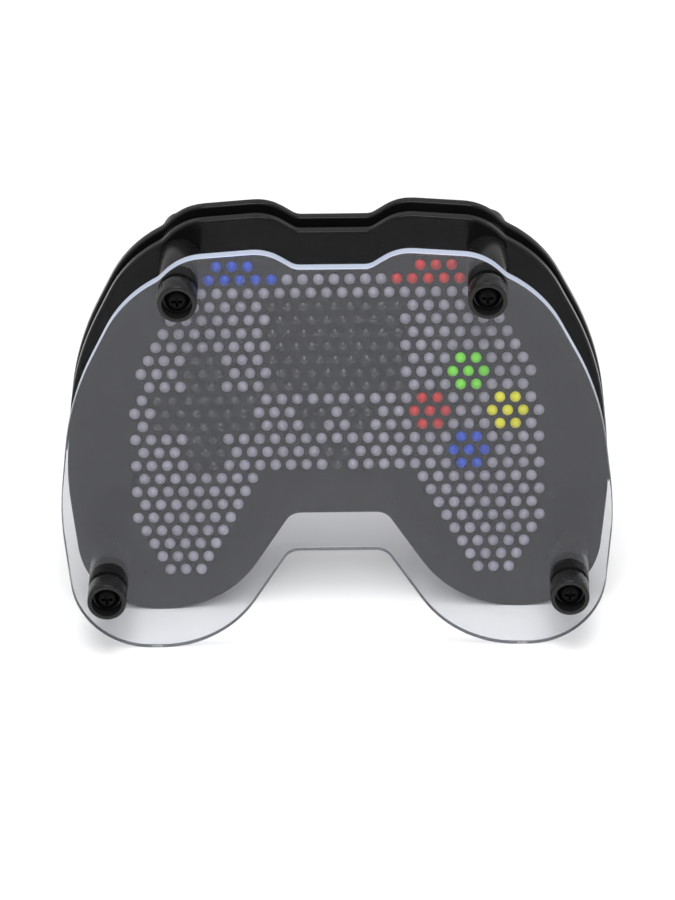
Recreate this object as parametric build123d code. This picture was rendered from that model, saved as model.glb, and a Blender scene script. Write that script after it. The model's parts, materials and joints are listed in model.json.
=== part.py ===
# Pin art impression toy cut to the outline of a game pad.
# Three plates stand on edge on four posts: a clear cover in front, then the pin plate and the
# rear guide plate. Headed pins slide front to back through both drilled plates.
# Frame: millimetres, +Z up, +X to the viewer's right, -Y towards the viewer.
# Origin: on the floor, midway across, at the pin plate's front face.

import os

from build123d import *

# plates
plate_thickness = 3.6
front_gap = 24.0            # clear space between the cover and the pin plate
rear_gap = 7.0              # clear space between the pin plate and the rear plate
edge_radius = 0.7           # soft outer edge of the two drilled plates
cover_edge_radius = 0.4

# the plates' outline: corners of the right half, with the radius that rounds each one, in turn
# over the top, down the outside of the lobe and up its inside
notch_height = 134.9
arch_height = 34.8
top_corners = [
    (11.8, notch_height, 5.2),
    (20.6, 140.6, 15.5),
    (47.9, 138.5, 17.8),
    (54.9, 131.4, 8.3),
    (66.6, 124.8, 39.0),
    (84.4, 89.2, 95.0),
]
cover_lobe_corners = [(88.7, 48.7, 100.0), (83.7, 0.0, 25.5)]
drilled_lobe_corners = [(87.8, 48.7, 100.0), (82.4, 0.0, 25.5)]     # a little slimmer
arch_corners = [(37.6, 0.0, 36.0), (15.3, arch_height, 5.6)]

# pin field: a staggered grid, counted in half steps to each side of the middle
pin_step = 5.0
row_step = 4.72
lowest_row_height = 15.2
row_reach = [15, 16, 19, 20, 21, 22, 23, 24, 25, 24, 25, 26, 25, 26, 25, 26,
             25, 26, 25, 26, 25, 24, 23, 22]
first_leg_row = 16          # from here down the field splits into two legs
leg_taper = 5               # a leg's inner edge is this many half steps short of its row number
top_row_inner_edge = 11     # the top row has pins under the two shoulders only

# pins
head_diameter = 3.5
head_rim = 0.9
head_dome = 1.2
shaft_diameter = 2.0
shaft_tip = 0.3
pin_hole_diameter = 2.6
seat_gap = 0.2              # play between a resting head and the pin plate

# posts
post_diameter = 12.6
cap_length = 8.0
cap_floor = 3.0
cap_recess_diameter = 9.6
cap_rim_radius = 0.9
screw_diameter = 4.0
clearance_diameter = 4.5
screw_head_diameter = 7.8
screw_head_height = 2.9
screw_head_rounding = 0.95
screw_tip_gap = 0.5         # from the screw's tip to the end of the nut's bore
recess_arm = 4.6
recess_width = 1.1
recess_depth = 1.8
nut_length = 6.5
nut_wall = 1.5
thread_diameter = 4.1
post_places = {
    "upper_left": (-48.8, 126.7),
    "upper_right": (48.8, 126.7),
    "lower_left": (-74.3, 20.9),
    "lower_right": (74.3, 20.9),
}

# stations along Y, with the pin plate's front face at 0
pin_plate_back = plate_thickness
rear_plate_front = pin_plate_back + rear_gap
rear_plate_back = rear_plate_front + plate_thickness
cover_back = -front_gap
cover_front = cover_back - plate_thickness
cap_front = cover_front - cap_length
tail_end = -cap_front       # pin tails reach as far back as the caps reach forward
nut_back = rear_plate_back + nut_length


def facing(y):
    """Upright plane at depth y, looking at the front: local x is X, local y is Z."""
    return Plane.XZ.offset(-y)


def disc(place, diameter, y):
    """Upright round face centred on an (x, z) place."""
    return facing(y) * Pos(*place) * Circle(diameter / 2)


def rod(place, diameter, front, back):
    """Solid round bar along Y."""
    return extrude(disc(place, diameter, back), amount=back - front)


def tube(place, outside, inside, front, back):
    return rod(place, outside, front, back) - rod(place, inside, front, back)


# ---- pin field -------------------------------------------------------------------------------

def pin_place(row, half_steps):
    rows_up = len(row_reach) - 1 - row
    return (half_steps * pin_step / 2, lowest_row_height + rows_up * row_step)


def field_cells():
    """Every pin as (row, half steps from the middle), top row first."""
    cells = []
    for row, reach in enumerate(row_reach):
        inner_edge = 0
        if row == 0:
            inner_edge = top_row_inner_edge
        if row >= first_leg_row:
            inner_edge = row - leg_taper
        for half_steps in range(-reach, reach + 1, 2):
            if abs(half_steps) >= inner_edge:
                cells.append((row, half_steps))
    return cells


# seven-pin round buttons: centre row and half steps
buttons = {
    "pins_green_button": (8, 17),
    "pins_red_button": (11, 12),
    "pins_yellow_button": (11, 22),
    "pins_blue_button": (14, 17),
}
# three-pin triangles: upper row and the half steps of the lower pin
triangles = {
    "pins_triangle_left": (11, -3),
    "pins_triangle_right": (11, 3),
    "pins_triangle_lower": (14, 0),
}
last_shoulder_row = 1
shoulder_inner_edge = 8
screen_rows = range(3, 10)
screen_reach = 8
# the cross pad: rows and half steps of its middle, then what its four arms cover from there
pad_row, pad_centre = 11, -17
pad_arm_rows, pad_arm_half_steps = 4, 6
pad_middle_rows, pad_middle_half_steps = 1, 2
# grey pins move in horizontal bands, given as the last row of each band
band_last_rows = [1, 2, 4, 6, 8, 10, 12, 13, 14, 15, 17, 19, 23]


def in_button(row, half_steps, centre):
    rows_off, steps_off = abs(row - centre[0]), abs(half_steps - centre[1])
    return (rows_off == 0 and steps_off <= 2) or (rows_off == 1 and steps_off == 1)


def pad_bank(row, half_steps):
    """Bank of a cross pad pin, or None where the pin is outside the cross."""
    rows_down, steps_right = row - pad_row, half_steps - pad_centre
    in_middle_rows = abs(rows_down) <= pad_middle_rows
    in_middle_steps = abs(steps_right) <= pad_middle_half_steps
    if in_middle_rows and in_middle_steps:
        return "pins_pad_centre"
    if in_middle_rows and abs(steps_right) <= pad_arm_half_steps:
        return "pins_pad_right" if steps_right > 0 else "pins_pad_left"
    if in_middle_steps and abs(rows_down) <= pad_arm_rows:
        return "pins_pad_down" if rows_down > 0 else "pins_pad_up"
    return None


def bank_of(row, half_steps):
    """Name of the bank, or group of pins, that a pin slides with."""
    for name, centre in buttons.items():
        if in_button(row, half_steps, centre):
            return name
    for name, (upper_row, lower_step) in triangles.items():
        steps_off = abs(half_steps - lower_step)
        if (row == upper_row and steps_off == 1) or (row == upper_row + 1 and steps_off == 0):
            return name
    if row <= last_shoulder_row and abs(half_steps) >= shoulder_inner_edge:
        return "pins_left_shoulder" if half_steps < 0 else "pins_right_shoulder"
    if row in screen_rows and abs(half_steps) <= screen_reach:
        return f"pins_screen_row_{row - screen_rows.start + 1}"
    if pad_bank(row, half_steps):
        return pad_bank(row, half_steps)
    band = next(i for i, last in enumerate(band_last_rows) if row <= last)
    if band == 0:
        return "pins_grey_band_01"
    side = "left" if half_steps < 0 else "right"
    return f"pins_grey_band_{band + 1:02d}_{side}"


def pin(place):
    """Round-headed pin, head forwards, turned from its half section about its own axis."""
    head_radius, shaft_radius = head_diameter / 2, shaft_diameter / 2
    head_back = -seat_gap
    rim_front = head_back - head_rim
    head_front = rim_front - head_dome
    dome_radius = (head_radius ** 2 + head_dome ** 2) / (2 * head_dome)
    with BuildSketch(Plane.XY) as half_section:
        with BuildLine():
            Line((0, tail_end), (0, head_front))
            RadiusArc((0, head_front), (head_radius, rim_front), -dome_radius)
            Polyline(
                (head_radius, rim_front),
                (head_radius, head_back),
                (shaft_radius, head_back),
                (shaft_radius, tail_end - shaft_tip),
                (shaft_radius - shaft_tip, tail_end),
                (0, tail_end),
            )
        make_face()
    turned = revolve(half_section.sketch, axis=Axis.Y)
    return Pos(place[0], 0, place[1]) * turned


# ---- plates ----------------------------------------------------------------------------------

def outline_wire(lobe_corners):
    """Whole outline, symmetric about X = 0, as straight runs joined by tangent arcs."""
    right_half = top_corners + lobe_corners + arch_corners
    corners = right_half + [(-x, z, radius) for x, z, radius in reversed(right_half)]
    points = [(x, z) for x, z, radius in corners]
    radii = [radius for x, z, radius in corners]
    return FilletPolyline(points, radius=radii, close=True).wire()


def plate(front, lobe_corners, hole_diameters, rounding):
    """Flat plate with its outer edges rounded. hole_diameters maps an (x, z) place to a size."""
    back = front + plate_thickness
    outside = facing(back) * Face(outline_wire(lobe_corners))
    blank = extrude(outside, amount=plate_thickness, dir=(0, -1, 0))
    rims = blank.faces().sort_by(Axis.Y)
    blank = fillet(rims[0].edges() + rims[-1].edges(), rounding)
    drills = [rod(place, size, front, back) for place, size in hole_diameters.items()]
    return blank - drills


cells = field_cells()
post_holes = {place: clearance_diameter for place in post_places.values()}
pin_holes = {pin_place(*cell): pin_hole_diameter for cell in cells}
drilled = {**post_holes, **pin_holes}

nodes = {
    "front_cover": plate(cover_front, cover_lobe_corners, post_holes, cover_edge_radius),
    "pin_plate": plate(0, drilled_lobe_corners, drilled, edge_radius),
    "rear_plate": plate(rear_plate_front, drilled_lobe_corners, drilled, edge_radius),
}


# ---- posts -----------------------------------------------------------------------------------

def cap(place):
    """Round front cap with a deep recess for the screw head."""
    body = rod(place, post_diameter, cap_front, cover_front)
    body = fillet(body.faces().sort_by(Axis.Y)[0].edges(), cap_rim_radius)
    recess = rod(place, cap_recess_diameter, cap_front, cover_front - cap_floor)
    return body - recess - rod(place, clearance_diameter, cap_front, cover_front)


def screw(place):
    """Pan-head screw with a cross recess, from the cap's floor into the rear nut."""
    seat = cover_front - cap_floor
    top = seat - screw_head_height
    head = rod(place, screw_head_diameter, top, seat)
    head = fillet(head.faces().sort_by(Axis.Y)[0].edges(), screw_head_rounding)
    shank = rod(place, screw_diameter, seat, nut_back - nut_wall - screw_tip_gap)
    cross = Rectangle(recess_arm, recess_width) + Rectangle(recess_width, recess_arm)
    recess = extrude(facing(top + recess_depth) * Pos(*place) * cross, amount=recess_depth)
    return head + shank - recess


def nut(place):
    """Blind round nut behind the rear plate."""
    body = rod(place, post_diameter, rear_plate_back, nut_back)
    body = fillet(body.faces().sort_by(Axis.Y)[-1].edges(), cap_rim_radius)
    return body - rod(place, thread_diameter, rear_plate_back, nut_back - nut_wall)


for corner, place in post_places.items():
    nodes[f"cap_{corner}"] = cap(place)
    nodes[f"sleeve_{corner}"] = tube(place, post_diameter, clearance_diameter, cover_back, 0)

places = post_places.values()
nodes["screws"] = Compound([screw(place) for place in places])
nodes["rear_nuts"] = Compound([nut(place) for place in places])
nodes["short_spacers"] = Compound([
    tube(place, post_diameter, clearance_diameter, pin_plate_back, rear_plate_front)
    for place in places
])


# ---- pin banks -------------------------------------------------------------------------------

banks = {}
for cell in cells:
    banks.setdefault(bank_of(*cell), []).append(pin(pin_place(*cell)))
for name, pins in banks.items():
    nodes[name] = Compound(pins)

os.makedirs("parts", exist_ok=True)
for name, shape in nodes.items():
    export_step(shape, f"parts/{name}.step")
print(len(nodes), "nodes,", len(cells), "pins")
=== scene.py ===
import json
import math

import bmesh
import bpy
from mathutils import Euler, Matrix, Vector

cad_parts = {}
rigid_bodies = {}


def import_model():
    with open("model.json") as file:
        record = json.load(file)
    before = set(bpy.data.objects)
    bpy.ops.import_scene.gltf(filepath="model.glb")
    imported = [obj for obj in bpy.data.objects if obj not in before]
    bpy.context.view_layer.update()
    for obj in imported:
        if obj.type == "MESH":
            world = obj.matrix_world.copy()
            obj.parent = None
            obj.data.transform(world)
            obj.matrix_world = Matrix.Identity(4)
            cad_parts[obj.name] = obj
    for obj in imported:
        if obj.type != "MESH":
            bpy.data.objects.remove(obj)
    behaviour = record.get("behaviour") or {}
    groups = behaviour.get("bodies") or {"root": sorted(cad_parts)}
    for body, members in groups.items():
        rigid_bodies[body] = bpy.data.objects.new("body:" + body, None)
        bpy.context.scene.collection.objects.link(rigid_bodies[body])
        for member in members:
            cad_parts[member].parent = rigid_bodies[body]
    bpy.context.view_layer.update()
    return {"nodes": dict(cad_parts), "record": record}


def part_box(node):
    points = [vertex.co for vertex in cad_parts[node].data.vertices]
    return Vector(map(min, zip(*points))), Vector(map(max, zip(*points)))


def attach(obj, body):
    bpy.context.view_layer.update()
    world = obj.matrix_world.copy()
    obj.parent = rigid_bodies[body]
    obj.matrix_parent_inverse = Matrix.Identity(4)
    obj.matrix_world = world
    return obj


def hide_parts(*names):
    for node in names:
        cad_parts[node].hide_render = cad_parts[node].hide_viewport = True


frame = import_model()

print("frame loaded:", len(frame["nodes"]), "nodes")
mm = 0.001
touching = 0.001 * mm  # points closer than this are the same point


# selecting and shaping

def onlyActive(piece):
    if bpy.context.object and bpy.context.object.mode != "OBJECT":
        bpy.ops.object.mode_set(mode="OBJECT")
    bpy.ops.object.select_all(action="DESELECT")
    piece.select_set(True)
    bpy.context.view_layer.objects.active = piece


def pickFaces(rule):
    # edit mode: selects the faces the rule takes, and nothing else
    bpy.ops.mesh.select_mode(type="FACE")
    bpy.ops.mesh.select_all(action="DESELECT")
    editMesh = bmesh.from_edit_mesh(bpy.context.object.data)
    for face in editMesh.faces:
        face.select_set(rule(face))
    bmesh.update_edit_mesh(bpy.context.object.data)


def cleanUp():
    # edit mode: closes seams and turns every face outwards
    bpy.ops.mesh.select_all(action="SELECT")
    bpy.ops.mesh.remove_doubles(threshold=touching)
    bpy.ops.mesh.normals_make_consistent(inside=False)


def applyAll(piece):
    onlyActive(piece)
    for modifier in list(piece.modifiers):
        bpy.ops.object.modifier_apply(modifier=modifier.name)


def bevelled(piece, width, segments, angle):
    modifier = piece.modifiers.new("bevel", "BEVEL")
    modifier.width = width
    modifier.segments = segments
    modifier.limit_method = "ANGLE"
    modifier.angle_limit = math.radians(angle)
    applyAll(piece)


def smoothed(piece, angle):
    onlyActive(piece)
    bpy.ops.object.shade_smooth_by_angle(angle=math.radians(angle))


def turned(name, profile, sides):
    # lathe work about Y: one vertex is drawn along the profile of (radius, y) points, then spun
    bpy.ops.object.select_all(action="DESELECT")
    radius, y = profile[0]
    bpy.ops.mesh.primitive_plane_add(size=mm, location=(0, 0, 0))
    piece = bpy.context.object
    piece.name = piece.data.name = name
    bpy.ops.object.mode_set(mode="EDIT")
    bpy.ops.mesh.select_mode(type="VERT")
    bpy.ops.mesh.select_all(action="SELECT")
    bpy.ops.mesh.merge(type="CENTER")
    bpy.ops.transform.translate(value=(radius, y, 0))
    for nextRadius, nextY in profile[1:]:
        step = (nextRadius - radius, nextY - y, 0)
        bpy.ops.mesh.extrude_region_move(TRANSFORM_OT_translate={"value": step})
        radius, y = nextRadius, nextY
    bpy.ops.mesh.select_all(action="SELECT")
    bpy.ops.mesh.spin(steps=sides, angle=2 * math.pi, center=(0, 0, 0), axis=(0, 1, 0))
    cleanUp()
    bpy.ops.object.mode_set(mode="OBJECT")
    return piece


def copiesAt(pattern, name, places):
    # own copies of a pattern, each moved to an (x, z) place, joined into one piece
    copies = []
    for x, z in places:
        copy = pattern.copy()
        copy.data = pattern.data.copy()
        copy.data.transform(Matrix.Translation((x, 0, z)))
        bpy.context.collection.objects.link(copy)
        copies.append(copy)
    onlyActive(copies[0])
    for copy in copies:
        copy.select_set(True)
    if len(copies) > 1:
        bpy.ops.object.join()
    piece = bpy.context.object
    piece.name = piece.data.name = name
    return piece


def discard(piece):
    bpy.data.objects.remove(piece, do_unlink=True)


# materials

def newGroup(name, inputs, outputs):
    group = bpy.data.node_groups.new(name, "ShaderNodeTree")
    for label, value in inputs.items():
        socket = group.interface.new_socket(name=label, in_out="INPUT", socket_type="NodeSocketFloat")
        socket.default_value = value
    for label in outputs:
        group.interface.new_socket(name=label, in_out="OUTPUT", socket_type="NodeSocketFloat")
    return group, group.nodes.new("NodeGroupInput"), group.nodes.new("NodeGroupOutput")


def addNode(tree, kind, links=None, **settings):
    # a node with its settings, and its inputs linked or set by name or number
    node = tree.nodes.new(kind)
    for key, value in settings.items():
        setattr(node, key, value)
    for key, value in (links or {}).items():
        if isinstance(value, bpy.types.NodeSocket):
            tree.links.new(value, node.inputs[key])
        else:
            node.inputs[key].default_value = value
    return node


speckLook = {"detail": 2.0, "rough": 0.6, "from": 0.60, "to": 0.74}
wipeLook = {"scale": 22.0, "detail": 3.0, "bend": 1.5, "from": 0.42, "to": 0.75, "strongest": 0.5}


def buildDust():
    # sparse fine specks and faint wiping marks, as a mask
    group, source, sink = newGroup("dust", {"Scale": 900.0, "Amount": 0.2}, ["Mask"])
    place = addNode(group, "ShaderNodeTexCoord").outputs["Object"]
    specks = addNode(group, "ShaderNodeTexNoise", {"Vector": place, "Detail": speckLook["detail"],
                     "Roughness": speckLook["rough"], "Scale": source.outputs["Scale"]})
    sharp = addNode(group, "ShaderNodeMapRange", {"Value": specks.outputs["Fac"],
                    "From Min": speckLook["from"], "From Max": speckLook["to"]})
    wipes = addNode(group, "ShaderNodeTexNoise", {"Vector": place, "Detail": wipeLook["detail"],
                    "Scale": wipeLook["scale"], "Distortion": wipeLook["bend"]})
    soft = addNode(group, "ShaderNodeMapRange", {"Value": wipes.outputs["Fac"],
                   "From Min": wipeLook["from"], "From Max": wipeLook["to"],
                   "To Max": wipeLook["strongest"]})
    both = addNode(group, "ShaderNodeMath", {0: sharp.outputs[0], 1: soft.outputs[0]}, operation="MAXIMUM")
    scaled = addNode(group, "ShaderNodeMath", {0: both.outputs[0], 1: source.outputs["Amount"]},
                     operation="MULTIPLY")
    group.links.new(scaled.outputs[0], sink.inputs["Mask"])
    return group


grainLook = {"detail": 4.0, "depth": 0.02 * mm}


def buildGrain():
    # very fine moulded or cast surface, as a height
    group, source, sink = newGroup("grain", {"Scale": 1500.0}, ["Height"])
    place = addNode(group, "ShaderNodeTexCoord").outputs["Object"]
    noise = addNode(group, "ShaderNodeTexNoise", {"Vector": place, "Detail": grainLook["detail"],
                    "Scale": source.outputs["Scale"]})
    group.links.new(noise.outputs["Fac"], sink.inputs["Height"])
    return group


# how squarely a broad face looks along Y, and the tilts between which an edge turns to the ceiling and the
# clear sheet's painted edge highlight fades in
sawnLook = {"square": 0.995, "tiltFrom": 0.12, "tiltTo": 0.42}


def buildSawnEdge():
    # Mask is 1 on the cut edges of a sheet that stands across Y and 0 on its two broad faces,
    # and Upward is 1 where such an edge faces the ceiling, where the clear sheet paints its edge highlight
    group, source, sink = newGroup("sawnEdge", {"Softness": 0.25, "Inside": 0.0}, ["Mask", "Upward"])
    normal = addNode(group, "ShaderNodeTexCoord").outputs["Normal"]
    parts = addNode(group, "ShaderNodeSeparateXYZ", {0: normal})
    across = addNode(group, "ShaderNodeMath", {0: parts.outputs["Y"]}, operation="ABSOLUTE")
    edge = addNode(group, "ShaderNodeMapRange", {"Value": across.outputs[0],
                   "From Min": sawnLook["square"], "From Max": source.outputs["Softness"]})
    # seen from inside the sheet, a normal points the other way
    flip = addNode(group, "ShaderNodeMapRange", {"Value": source.outputs["Inside"], "To Min": 1.0,
                   "To Max": -1.0})
    height = addNode(group, "ShaderNodeMath", {0: parts.outputs["Z"], 1: flip.outputs[0]},
                     operation="MULTIPLY")
    upward = addNode(group, "ShaderNodeMapRange", {"Value": height.outputs[0],
                     "From Min": sawnLook["tiltFrom"], "From Max": sawnLook["tiltTo"]})
    group.links.new(edge.outputs[0], sink.inputs["Mask"])
    group.links.new(upward.outputs[0], sink.inputs["Upward"])
    return group


dustGroup = buildDust()
grainGroup = buildGrain()
sawnEdgeGroup = buildSawnEdge()


def newMaterial(name):
    material = bpy.data.materials.new(name)
    material.use_nodes = True
    return material, material.node_tree, material.node_tree.nodes["Principled BSDF"]


def placed(tree, group, **values):
    node = tree.nodes.new("ShaderNodeGroup")
    node.node_tree = group
    for label, value in values.items():
        node.inputs[label].default_value = value
    return node


def mixColour(tree, factor, low, high):
    # low and high are colours or colour outputs
    mix = addNode(tree, "ShaderNodeMix", data_type="RGBA")
    tree.links.new(factor, mix.inputs["Factor"])
    for socket, colour in ((mix.inputs[6], low), (mix.inputs[7], high)):
        if isinstance(colour, bpy.types.NodeSocket):
            tree.links.new(colour, socket)
        else:
            socket.default_value = colour
    return mix.outputs[2]


def ranged(tree, value, low, high):
    node = addNode(tree, "ShaderNodeMapRange", {"Value": value, "To Min": low, "To Max": high})
    return node.outputs[0]


def grainBump(tree, shader, scale, strength):
    grain = placed(tree, grainGroup, Scale=scale)
    bump = addNode(tree, "ShaderNodeBump", {"Height": grain.outputs["Height"], "Strength": strength,
                   "Distance": grainLook["depth"]})
    tree.links.new(bump.outputs["Normal"], shader.inputs["Normal"])


acrylicIor = 1.49
blackSheet = {"colour": (0.0035, 0.0035, 0.0038, 1), "dusty": (0.016, 0.016, 0.017, 1),
              "gloss": 0.12, "edgeGloss": 0.26, "edgeSoftness": 0.3, "specular": 0.20,
              "dust": 0.30, "dustScale": 1300.0, "grain": 0.05, "grainScale": 900.0}


def makeBlackSheet():
    material, tree, shader = newMaterial("blackAcrylicSheet")
    dust = placed(tree, dustGroup, Scale=blackSheet["dustScale"], Amount=blackSheet["dust"])
    edge = placed(tree, sawnEdgeGroup, Softness=blackSheet["edgeSoftness"])
    colour = mixColour(tree, dust.outputs["Mask"], blackSheet["colour"], blackSheet["dusty"])
    tree.links.new(colour, shader.inputs["Base Color"])
    rough = ranged(tree, edge.outputs["Mask"], blackSheet["gloss"], blackSheet["edgeGloss"])
    tree.links.new(rough, shader.inputs["Roughness"])
    shader.inputs["Specular IOR Level"].default_value = blackSheet["specular"]
    shader.inputs["IOR"].default_value = acrylicIor
    grainBump(tree, shader, blackSheet["grainScale"], blackSheet["grain"])
    return material


# the polished edges get a painted highlight in their colour where they face the ceiling, and painted shade
# (a dark colour) elsewhere
clearSheet = {"face": (0.66, 0.665, 0.68, 1), "edge": (0.07, 0.075, 0.085, 1),
              "paintedEdgeHighlight": (0.46, 0.51, 0.64, 1), "glint": (0.93, 0.94, 1.0, 1), "edgeRough": 0.35,
              "edgeClear": 0.2, "edgeSoftness": 0.75, "shadow": (0.96, 0.97, 0.98, 1)}


def makeClearSheet():
    material, tree, shader = newMaterial("clearAcrylicSheet")
    edge = placed(tree, sawnEdgeGroup, Softness=clearSheet["edgeSoftness"])
    inside = tree.nodes.new("ShaderNodeNewGeometry").outputs["Backfacing"]
    tree.links.new(inside, edge.inputs["Inside"])
    # painted light on the edges: the dark edge colour is painted shade, the bright one a painted highlight
    # on edges facing up
    paintedEdgeLight = mixColour(tree, edge.outputs["Upward"], clearSheet["edge"], clearSheet["paintedEdgeHighlight"])
    colour = mixColour(tree, edge.outputs["Mask"], clearSheet["face"], paintedEdgeLight)
    tree.links.new(colour, shader.inputs["Base Color"])
    rough = ranged(tree, edge.outputs["Mask"], 0.0, clearSheet["edgeRough"])
    tree.links.new(rough, shader.inputs["Roughness"])
    clearness = ranged(tree, edge.outputs["Mask"], 1.0, clearSheet["edgeClear"])
    tree.links.new(clearness, shader.inputs["Transmission Weight"])
    shader.inputs["IOR"].default_value = acrylicIor
    shader.inputs["Specular Tint"].default_value = clearSheet["glint"]
    # light for the pins passes straight through the sheet
    clear = addNode(tree, "ShaderNodeBsdfTransparent", {"Color": clearSheet["shadow"]})
    path = tree.nodes.new("ShaderNodeLightPath")
    mix = addNode(tree, "ShaderNodeMixShader", {0: path.outputs["Is Shadow Ray"],
                  1: shader.outputs[0], 2: clear.outputs[0]})
    tree.links.new(mix.outputs[0], tree.nodes["Material Output"].inputs["Surface"])
    return material


# caps, sleeves, spacers and nuts are moulded, and the screws are blackened steel
postPlastic = {"colour": (0.008, 0.008, 0.008, 1), "dusty": (0.03, 0.03, 0.03, 1),
               "gloss": 0.25, "grain": 0.1, "specular": 0.25}
screwSteel = {"colour": (0.0015, 0.0015, 0.0015, 1), "dusty": (0.005, 0.005, 0.005, 1),
              "gloss": 0.3, "grain": 0.2, "specular": 0.08}
smallPart = {"dust": 0.3, "dustScale": 1800.0, "dustDulls": 0.25, "grainScale": 2200.0}


def makeSmallPart(name, finish):
    material, tree, shader = newMaterial(name)
    dust = placed(tree, dustGroup, Scale=smallPart["dustScale"], Amount=smallPart["dust"])
    colour = mixColour(tree, dust.outputs["Mask"], finish["colour"], finish["dusty"])
    tree.links.new(colour, shader.inputs["Base Color"])
    rough = ranged(tree, dust.outputs["Mask"], finish["gloss"], finish["gloss"] + smallPart["dustDulls"])
    tree.links.new(rough, shader.inputs["Roughness"])
    shader.inputs["Specular IOR Level"].default_value = finish["specular"]
    grainBump(tree, shader, smallPart["grainScale"], finish["grain"])
    return material


pinPlastic = {"spread": 0.12, "glossier": 0.05, "duller": 0.08, "grain": 0.08, "grainScale": 2600.0}
pinFinishes = {
    "grey": {"colour": (0.25, 0.24, 0.285), "gloss": 0.32, "specular": 0.5},
    "black": {"colour": (0.002, 0.002, 0.002), "gloss": 0.12, "specular": 1.0},
    "green": {"colour": (0.17, 0.70, 0.02), "gloss": 0.32, "specular": 0.5},
    "red": {"colour": (0.46, 0.008, 0.006), "gloss": 0.32, "specular": 0.5},
    "yellow": {"colour": (0.69, 0.66, 0.0), "gloss": 0.32, "specular": 0.5},
    "blue": {"colour": (0.0, 0.05, 0.45), "gloss": 0.32, "specular": 0.5},
}


def makePinPlastic(name, finish):
    # every pin is a shade lighter or darker than its neighbours
    material, tree, shader = newMaterial(name)
    island = tree.nodes.new("ShaderNodeNewGeometry").outputs["Random Per Island"]
    dark = tuple(channel * (1 - pinPlastic["spread"]) for channel in finish["colour"])
    light = tuple(channel * (1 + pinPlastic["spread"]) for channel in finish["colour"])
    tree.links.new(mixColour(tree, island, dark + (1,), light + (1,)), shader.inputs["Base Color"])
    rough = ranged(tree, island, finish["gloss"] - pinPlastic["glossier"],
                   finish["gloss"] + pinPlastic["duller"])
    tree.links.new(rough, shader.inputs["Roughness"])
    shader.inputs["Specular IOR Level"].default_value = finish["specular"]
    grainBump(tree, shader, pinPlastic["grainScale"], pinPlastic["grain"])
    return material


materials = {
    "clear_acrylic": makeClearSheet(),
    "black_acrylic": makeBlackSheet(),
    "black_plastic": makeSmallPart("blackMouldedPlastic", postPlastic),
    "black_screw_steel": makeSmallPart("blackScrewSteel", screwSteel),
}
for colourName, finish in pinFinishes.items():
    materials[colourName + "_pin_plastic"] = makePinPlastic(colourName + "Pin", finish)
print("materials made:", len(materials))

slotOf = {row["node"]: row["material_slot"] for row in frame["record"]["subparts"]}
bodyOf = {node: body for body, nodes in frame["record"]["behaviour"]["bodies"].items() for node in nodes}


def settle(piece, node):
    # the piece stands for the node, in the node's finish and on its body
    piece.data.materials.clear()
    piece.data.materials.append(materials[slotOf[node]])
    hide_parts(node)
    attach(piece, bodyOf[node])


def nodeMiddle(node):
    low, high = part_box(node)
    return (low + high) / 2


def tips(node):
    # (x, z) of every solid's furthest forward point, which lies on its axis
    mesh = frame["nodes"][node].data
    reach = min(vertex.co.y for vertex in mesh.vertices)
    return sorted({(round(vertex.co.x, 5), round(vertex.co.z, 5)) for vertex in mesh.vertices
                   if vertex.co.y < reach + touching})


# plates

plate = {"holeSides": 20, "holeRadius": 1.3 * mm, "flare": 0.22 * mm, "postHole": 2.25 * mm,
         "drillPast": 1 * mm, "flatWithin": 0.5, "square": 0.999, "smoothAngle": 30, "faceWeight": 100}
pinNodes = sorted(node for node in frame["nodes"] if node.startswith("pins_"))
pinPlaces = {node: tips(node) for node in pinNodes}
allPlaces = [place for node in pinNodes for place in pinPlaces[node]]
corners = ["upper_left", "upper_right", "lower_left", "lower_right"]
postPlaces = [(nodeMiddle("cap_" + corner).x, nodeMiddle("cap_" + corner).z) for corner in corners]
print("pins found:", len(allPlaces))


def sheetCopy(name, node):
    # edit mode after this: the node's own outline, rounded edges and holes, merged into one skin
    piece = bpy.data.objects.new(name, frame["nodes"][node].data.copy())
    piece.data.name = name
    bpy.context.collection.objects.link(piece)
    onlyActive(piece)
    bpy.ops.object.mode_set(mode="EDIT")
    bpy.ops.mesh.select_all(action="SELECT")
    bpy.ops.mesh.remove_doubles(threshold=touching)
    return piece


def evenlyShaded(piece):
    # large flat faces keep their own normal beside a rounded edge
    smoothed(piece, plate["smoothAngle"])
    modifier = piece.modifiers.new("faceWeights", "WEIGHTED_NORMAL")
    modifier.weight = plate["faceWeight"]
    modifier.keep_sharp = True
    applyAll(piece)


def drillsAt(places, radius, low, high):
    # one drill with a flared start at each face, copied to every place
    past = plate["drillPast"]
    wide = radius + plate["flare"] + past
    profile = [(0, low.y - past), (wide, low.y - past), (radius, low.y + plate["flare"]),
               (radius, high.y - plate["flare"]), (wide, high.y + past), (0, high.y + past)]
    drill = turned("drill", profile, plate["holeSides"])
    drills = copiesAt(drill, "drills", places)
    discard(drill)
    return drills


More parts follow.
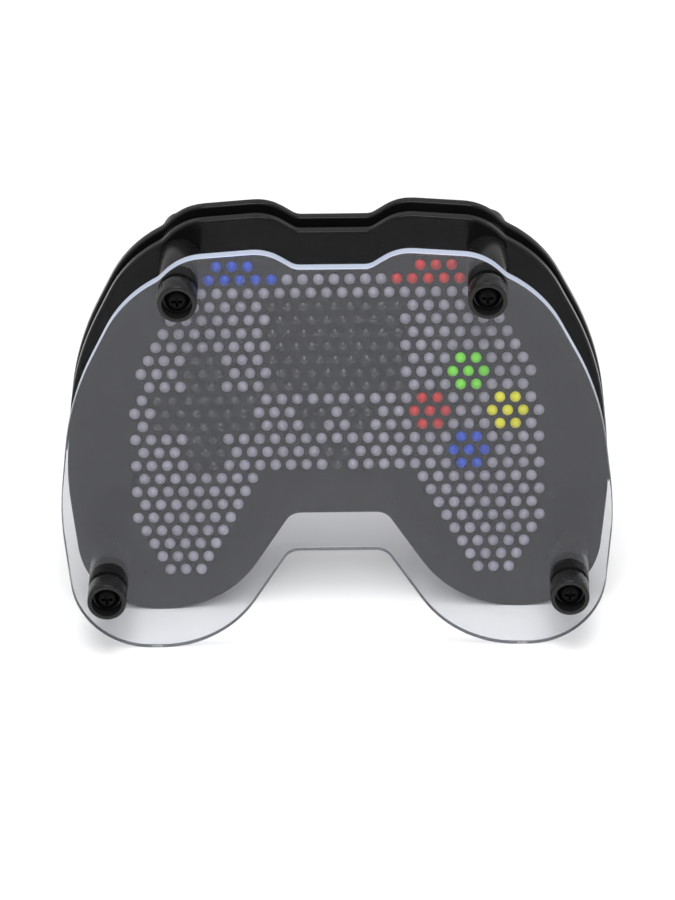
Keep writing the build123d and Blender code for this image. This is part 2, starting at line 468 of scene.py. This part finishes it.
def drilledPlate(name, node):
    # keeps the rounded rim, closes it again with two plain faces and drills it afresh
    low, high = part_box(node)
    piece = sheetCopy(name, node)
    pickFaces(lambda face: abs(face.normal.y) > plate["square"])
    bpy.ops.mesh.delete(type="FACE")
    bpy.ops.mesh.select_mode(type="VERT")
    bpy.ops.mesh.select_all(action="DESELECT")
    editMesh = bmesh.from_edit_mesh(piece.data)
    max(editMesh.verts, key=lambda vertex: vertex.co.x).select_set(True)
    bpy.ops.mesh.select_linked()
    bpy.ops.mesh.select_all(action="INVERT")
    bpy.ops.mesh.delete(type="VERT")
    bpy.ops.mesh.select_all(action="SELECT")
    bpy.ops.mesh.fill_holes(sides=0)
    cleanUp()
    bpy.ops.object.mode_set(mode="OBJECT")
    for places, radius in ((allPlaces, plate["holeRadius"]), (postPlaces, plate["postHole"])):
        drills = drillsAt(places, radius, low, high)
        cut = piece.modifiers.new("holes", "BOOLEAN")
        cut.operation = "DIFFERENCE"
        cut.solver = "EXACT"
        cut.object = drills
        applyAll(piece)
        discard(drills)
    evenlyShaded(piece)
    settle(piece, node)


coverSheet = sheetCopy("clearCoverSheet", "front_cover")
bpy.ops.mesh.dissolve_limited(angle_limit=math.radians(plate["flatWithin"]))
bpy.ops.object.mode_set(mode="OBJECT")
evenlyShaded(coverSheet)
settle(coverSheet, "front_cover")
drilledPlate("pinPlateSheet", "pin_plate")
drilledPlate("rearPlateSheet", "rear_plate")
print("plates made")


# posts

post = {"sides": 64, "bore": 2.25 * mm, "edge": 0.25 * mm, "edgeSteps": 2, "sharpAngle": 50,
        "smoothAngle": 40}
capShape = {"rimRound": 0.6 * mm, "rimSteps": 4, "lip": 1.5 * mm, "recess": 5.0 * mm}
capLow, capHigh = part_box("cap_upper_left")
postRadius = (capHigh.x - capLow.x) / 2


def capPattern():
    front, back = capLow.y, capHigh.y
    inner = postRadius - capShape["lip"]
    recessFloor = front + capShape["recess"]
    profile = [(post["bore"], back), (postRadius, back), (postRadius, front), (inner, front),
               (inner, recessFloor), (post["bore"], recessFloor), (post["bore"], back)]
    piece = turned("capPattern", profile, post["sides"])
    onlyActive(piece)
    # the outer front rim is rounded well, the other edges only broken
    bpy.ops.object.mode_set(mode="EDIT")
    bpy.ops.mesh.select_mode(type="EDGE")
    bpy.ops.mesh.select_all(action="DESELECT")
    editMesh = bmesh.from_edit_mesh(piece.data)
    middleOfRim = (inner + postRadius) / 2
    for edge in editMesh.edges:
        edge.select_set(all(vertex.co.y < front + touching
                            and math.hypot(vertex.co.x, vertex.co.z) > middleOfRim
                            for vertex in edge.verts))
    bpy.ops.mesh.bevel(offset=capShape["rimRound"], segments=capShape["rimSteps"], affect="EDGES")
    bpy.ops.object.mode_set(mode="OBJECT")
    bevelled(piece, post["edge"], post["edgeSteps"], post["sharpAngle"])
    return piece


cap = capPattern()
for corner, place in zip(corners, postPlaces):
    piece = copiesAt(cap, "roundCap." + corner, [place])
    smoothed(piece, post["smoothAngle"])
    settle(piece, "cap_" + corner)
discard(cap)


def ringPattern(name, node):
    # plain tube with broken ends, for sleeves and spacers
    low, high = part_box(node)
    profile = [(post["bore"], low.y), (post["bore"], high.y), (postRadius, high.y), (postRadius, low.y),
               (post["bore"], low.y)]
    piece = turned(name, profile, post["sides"])
    bevelled(piece, post["edge"], post["edgeSteps"], post["sharpAngle"])
    return piece


sleeve = ringPattern("sleevePattern", "sleeve_upper_left")
for corner, place in zip(corners, postPlaces):
    piece = copiesAt(sleeve, "longSleeve." + corner, [place])
    smoothed(piece, post["smoothAngle"])
    settle(piece, "sleeve_" + corner)
discard(sleeve)

spacer = ringPattern("spacerPattern", "short_spacers")
piece = copiesAt(spacer, "shortSpacerSet", postPlaces)
smoothed(piece, post["smoothAngle"])
settle(piece, "short_spacers")
discard(spacer)


# a blind nut has a round dimple in its closed rear end
nutShape = {"bore": 2.05 * mm, "wall": 1.5 * mm, "dimple": 2.2 * mm, "dimpleFloor": 0.8,
            "dimpleDepth": 0.35 * mm, "rounding": 0.8 * mm, "roundingSteps": 4, "sharpAngle": 60}


def nutPattern():
    low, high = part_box("rear_nuts")
    bore, dimple = nutShape["bore"], nutShape["dimple"]
    boreEnd = high.y - nutShape["wall"]
    floorY = high.y - nutShape["dimpleDepth"]
    profile = [(0, boreEnd), (bore, boreEnd), (bore, low.y), (postRadius, low.y), (postRadius, high.y),
               (dimple, high.y), (dimple * nutShape["dimpleFloor"], floorY), (0, floorY)]
    piece = turned("nutPattern", profile, post["sides"])
    bevelled(piece, nutShape["rounding"], nutShape["roundingSteps"], nutShape["sharpAngle"])
    return piece


nut = nutPattern()
piece = copiesAt(nut, "blindNutSet", postPlaces)
smoothed(piece, post["smoothAngle"])
settle(piece, "rear_nuts")
discard(nut)


# domeSteps are parts of the head's radius with their depths behind its front
screwShape = {"sides": 40, "head": 3.9 * mm, "headDepth": 2.9 * mm, "shank": 2.0 * mm, "tip": 0.5 * mm,
              "domeSteps": ((0.55, 0.12 * mm), (0.85, 0.65 * mm), (1.0, 1.4 * mm)), "smoothAngle": 35}
crossRecess = {"length": 4.8 * mm, "depth": 1.8 * mm, "width": 1.15 * mm, "floorShare": 0.55}


def screwPattern():
    low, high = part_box("screws")
    seat = low.y + screwShape["headDepth"]
    head, shank, tip = screwShape["head"], screwShape["shank"], screwShape["tip"]
    dome = [(head * part, low.y + depth) for part, depth in screwShape["domeSteps"]]
    profile = [(0, low.y)] + dome + [(head, seat), (shank, seat), (shank, high.y - tip),
                                     (shank - tip, high.y), (0, high.y)]
    piece = turned("screwPattern", profile, screwShape["sides"])
    arms = []
    for turn in (0, 90):
        bpy.ops.object.select_all(action="DESELECT")
        bpy.ops.mesh.primitive_cube_add(size=1, location=(0, low.y, 0),
                                        rotation=(0, math.radians(turn), 0))
        arm = bpy.context.object
        arm.scale = (crossRecess["length"], 2 * crossRecess["depth"], crossRecess["width"])
        bpy.ops.object.transform_apply(location=True, rotation=True, scale=True)
        # each arm narrows towards its floor
        bpy.ops.object.mode_set(mode="EDIT")
        pickFaces(lambda face: face.normal.y > 0.9)
        share = crossRecess["floorShare"]
        bpy.ops.transform.resize(value=(share, 1, share),
                                 center_override=(0, low.y + crossRecess["depth"], 0))
        bpy.ops.object.mode_set(mode="OBJECT")
        arms.append(arm)
    for arm in arms:
        cut = piece.modifiers.new("recess", "BOOLEAN")
        cut.operation = "DIFFERENCE"
        cut.solver = "EXACT"
        cut.object = arm
    applyAll(piece)
    for arm in arms:
        discard(arm)
    return piece


screw = screwPattern()
piece = copiesAt(screw, "crossScrewSet", postPlaces)
smoothed(piece, screwShape["smoothAngle"])
settle(piece, "screws")
discard(screw)
print("posts made")


# pins

pin = {"sides": 12, "head": 1.75 * mm, "rim": 0.9 * mm, "dome": 1.2 * mm, "domeSteps": (0.3, 0.68, 1.0),
       "shaft": 1.0 * mm, "tip": 0.3 * mm, "smoothAngle": 50}


def pinPattern():
    low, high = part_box(pinNodes[0])
    head, dome = pin["head"], pin["dome"]
    rimFront = low.y + dome
    ball = (head * head + dome * dome) / (2 * dome)
    lean = math.asin(head / ball)
    domePoints = [(ball * math.sin(lean * part), low.y + ball * (1 - math.cos(lean * part)))
                  for part in pin["domeSteps"]]
    profile = [(0, low.y)] + domePoints + [
        (head, rimFront + pin["rim"]), (pin["shaft"], rimFront + pin["rim"]),
        (pin["shaft"], high.y - pin["tip"]), (pin["shaft"] - pin["tip"], high.y), (0, high.y)]
    return turned("pinPattern", profile, pin["sides"])


pinMaster = pinPattern()
for node in pinNodes:
    piece = copiesAt(pinMaster, "pinBank." + node.removeprefix("pins_"), pinPlaces[node])
    smoothed(piece, pin["smoothAngle"])
    settle(piece, node)
discard(pinMaster)
print("pin banks made:", len(pinNodes))


# floor, light and camera

studio = {"floor": 6.0, "floorColour": (0.92, 0.92, 0.925, 1), "floorRough": 0.9, "floorShine": 0.1,
          "world": 0.5, "lightsAimAt": (0, 0, 0.07)}

bpy.ops.object.select_all(action="DESELECT")
bpy.ops.mesh.primitive_plane_add(size=studio["floor"], location=(0, 0, 0))
floor = bpy.context.object
floor.name = "paleFloor"
floorMaterial, _, floorShader = newMaterial("palePaper")
floorShader.inputs["Base Color"].default_value = studio["floorColour"]
floorShader.inputs["Roughness"].default_value = studio["floorRough"]
floorShader.inputs["Specular IOR Level"].default_value = studio["floorShine"]
floor.data.materials.append(floorMaterial)

world = bpy.data.worlds.new("softWorld")
bpy.context.scene.world = world
world.use_nodes = True
world.node_tree.nodes["Background"].inputs["Color"].default_value = (1, 1, 1, 1)
world.node_tree.nodes["Background"].inputs["Strength"].default_value = studio["world"]


# the front softbox only fills, so that it leaves no blot on the shiny pin heads
softboxes = {
    "topSoftbox": {"place": (0, -0.3, 1.5), "size": 0.8, "power": 12.0, "mirrored": True},
    "frontSoftbox": {"place": (0, -1.6, 1.35), "size": 1.6, "power": 28.0, "mirrored": False},
    "leftSoftbox": {"place": (-1.3, -0.5, 0.9), "size": 0.8, "power": 3.0, "mirrored": True},
    "rightSoftbox": {"place": (1.3, -0.5, 0.9), "size": 0.8, "power": 3.0, "mirrored": True},
}
for name, box in softboxes.items():
    bpy.ops.object.light_add(type="AREA", location=box["place"])
    light = bpy.context.object
    light.name = name
    light.data.size = box["size"]
    light.data.energy = box["power"]
    light.visible_glossy = box["mirrored"]
    aim = Vector(studio["lightsAimAt"]) - Vector(box["place"])
    light.rotation_euler = aim.to_track_quat("-Z", "Y").to_euler()

view = {"aim": (0.0002, -0.010, 0.0621), "distance": 2.164, "elevation": 26.94, "azimuth": 1.18,
        "roll": -1.14, "lens": 269.5, "sensor": 36, "farthest": 50}
bpy.ops.object.camera_add()
camera = bpy.context.object
camera.name = "studioCamera"
turn = (Euler((0, 0, math.radians(view["azimuth"]))).to_matrix()
        @ Euler((math.radians(90 - view["elevation"]), 0, 0)).to_matrix()
        @ Euler((0, 0, math.radians(view["roll"]))).to_matrix())
camera.matrix_world = (Matrix.Translation(Vector(view["aim"]) + turn @ Vector((0, 0, view["distance"])))
                       @ turn.to_4x4())
camera.data.lens = view["lens"]
camera.data.sensor_width = view["sensor"]
camera.data.clip_end = view["farthest"]
bpy.context.scene.camera = camera
bpy.context.scene.view_settings.view_transform = "Standard"
print("studio set")
